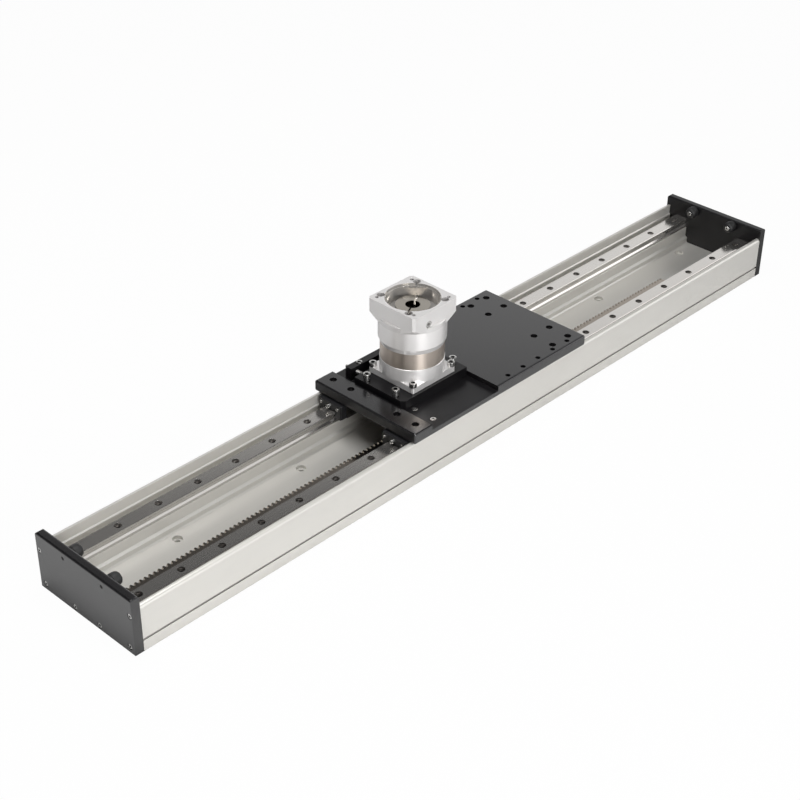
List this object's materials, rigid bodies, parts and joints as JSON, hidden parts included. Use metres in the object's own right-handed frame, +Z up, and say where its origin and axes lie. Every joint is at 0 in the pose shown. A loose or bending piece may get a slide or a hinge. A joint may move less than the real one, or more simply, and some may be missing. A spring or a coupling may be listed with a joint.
{
  "type": "linear rail module",
  "caption": "Rack-driven linear module: an open aluminium profile with profile rails, a helical rack and a carriage plate that carries an upright planetary gearbox with an open motor flange.",
  "frame": {"origin": "middle of the base's underside, below the middle of the module, with the carriage at mid travel", "axes": "+X along the module towards the end away from the gearbox, +Y across it from the rack's side to the other rail, +Z up through the gearbox and its open motor flange"},
  "size_m": [1.204, 0.178, 0.195],
  "materials": {
    "natural_aluminium": "clear anodised, satin, drawn along its length",
    "black_anodised": "black anodised, satin",
    "rail_steel": "hardened and ground",
    "block_steel": "ground, lightly oiled",
    "rack_steel": "hardened, blackened and oiled",
    "shaft_steel": "turned and polished",
    "bearing_steel": "ground and polished",
    "ring_steel": "nitrided, turned",
    "gearbox_aluminium": "machined, clear anodised, matt",
    "zinc_screws": "bright zinc plated",
    "dark_screws": "black oxide",
    "rubber": "moulded, matt",
    "black_plastic": "moulded, matt"
  },
  "bodies": {
    "base": {"base_profile": "natural_aluminium", "near_rail": "rail_steel", "far_rail": "rail_steel", "near_rail_screws": "dark_screws", "far_rail_screws": "dark_screws", "gear_rack": "rack_steel", "rack_screws": "dark_screws", "left_end_plate": "black_anodised", "right_end_plate": "black_anodised", "left_end_screws": "zinc_screws", "right_end_screws": "zinc_screws", "left_bumpers": "rubber", "right_bumpers": "rubber", "left_bumper_studs": "dark_screws", "right_bumper_studs": "dark_screws"},
    "carriage": {"access_plug": "zinc_screws", "adapter_clamp_collars": "zinc_screws", "adapter_clamp_screws": "zinc_screws", "adapter_plate": "black_anodised", "adjusting_bar": "black_anodised", "adjusting_bar_screws": "zinc_screws", "adjusting_screws": "zinc_screws", "block_screws": "dark_screws", "carriage_plate": "black_anodised", "far_left_block": "block_steel", "far_left_end_caps": "black_plastic", "far_left_seals": "rubber", "far_right_block": "block_steel", "far_right_end_caps": "black_plastic", "far_right_seals": "rubber", "flange_screws": "zinc_screws", "input_bearing": "bearing_steel", "input_housing": "gearbox_aluminium", "lower_output_bearing": "bearing_steel", "motor_flange": "gearbox_aluminium", "motor_flange_screws": "zinc_screws", "near_left_block": "block_steel", "near_left_end_caps": "black_plastic", "near_left_seals": "rubber", "near_right_block": "block_steel", "near_right_end_caps": "black_plastic", "near_right_seals": "rubber", "output_housing": "gearbox_aluminium", "recess_screws": "zinc_screws", "ring_gear": "ring_steel", "shaft_seal": "rubber", "upper_output_bearing": "bearing_steel"},
    "output": {"output_shaft": "shaft_steel", "carrier_cover": "shaft_steel", "planet_pins": "shaft_steel", "pinion": "rack_steel", "pinion_key": "shaft_steel", "pinion_washer": "zinc_screws", "pinion_screw": "zinc_screws"},
    "input": {"input_shaft": "shaft_steel", "hub_clamp_screw": "dark_screws"},
    "planet_1": {"planet_gear_1": "shaft_steel"},
    "planet_2": {"planet_gear_2": "shaft_steel"},
    "planet_3": {"planet_gear_3": "shaft_steel"}
  },
  "joints": [
    {"name": "carriage_slide", "type": "slide", "parent": "base", "child": "carriage", "axis": [1, 0, 0], "range_m": [-0.403, 0.403]},
    {"name": "output_spin", "type": "hinge", "parent": "carriage", "child": "output", "pos_m": [-0.07, 0.00803, 0.05], "axis": [0, 0, 1], "range_deg": [-740, 740]},
    {"name": "input_spin", "type": "hinge", "parent": "carriage", "child": "input", "pos_m": [-0.07, 0.00803, 0.15], "axis": [0, 0, 1], "range_deg": [-3700, 3700]},
    {"name": "planet_1_spin", "type": "hinge", "parent": "output", "child": "planet_1", "pos_m": [-0.0475, 0.00803, 0.1225], "axis": [0, 0, 1], "range_deg": [-1980, 1980]},
    {"name": "planet_2_spin", "type": "hinge", "parent": "output", "child": "planet_2", "pos_m": [-0.08125, 0.02752, 0.1225], "axis": [0, 0, 1], "range_deg": [-1980, 1980]},
    {"name": "planet_3_spin", "type": "hinge", "parent": "output", "child": "planet_3", "pos_m": [-0.08125, -0.01145, 0.1225], "axis": [0, 0, 1], "range_deg": [-1980, 1980]}
  ],
  "couplings": [
    {"joint": "output_spin", "follows": "carriage_slide", "rad_per_m": -31.416},
    {"joint": "input_spin", "follows": "carriage_slide", "rad_per_m": -157.08},
    {"joint": "planet_1_spin", "follows": "carriage_slide", "rad_per_m": 83.776},
    {"joint": "planet_2_spin", "follows": "carriage_slide", "rad_per_m": 83.776},
    {"joint": "planet_3_spin", "follows": "carriage_slide", "rad_per_m": 83.776}
  ]
}
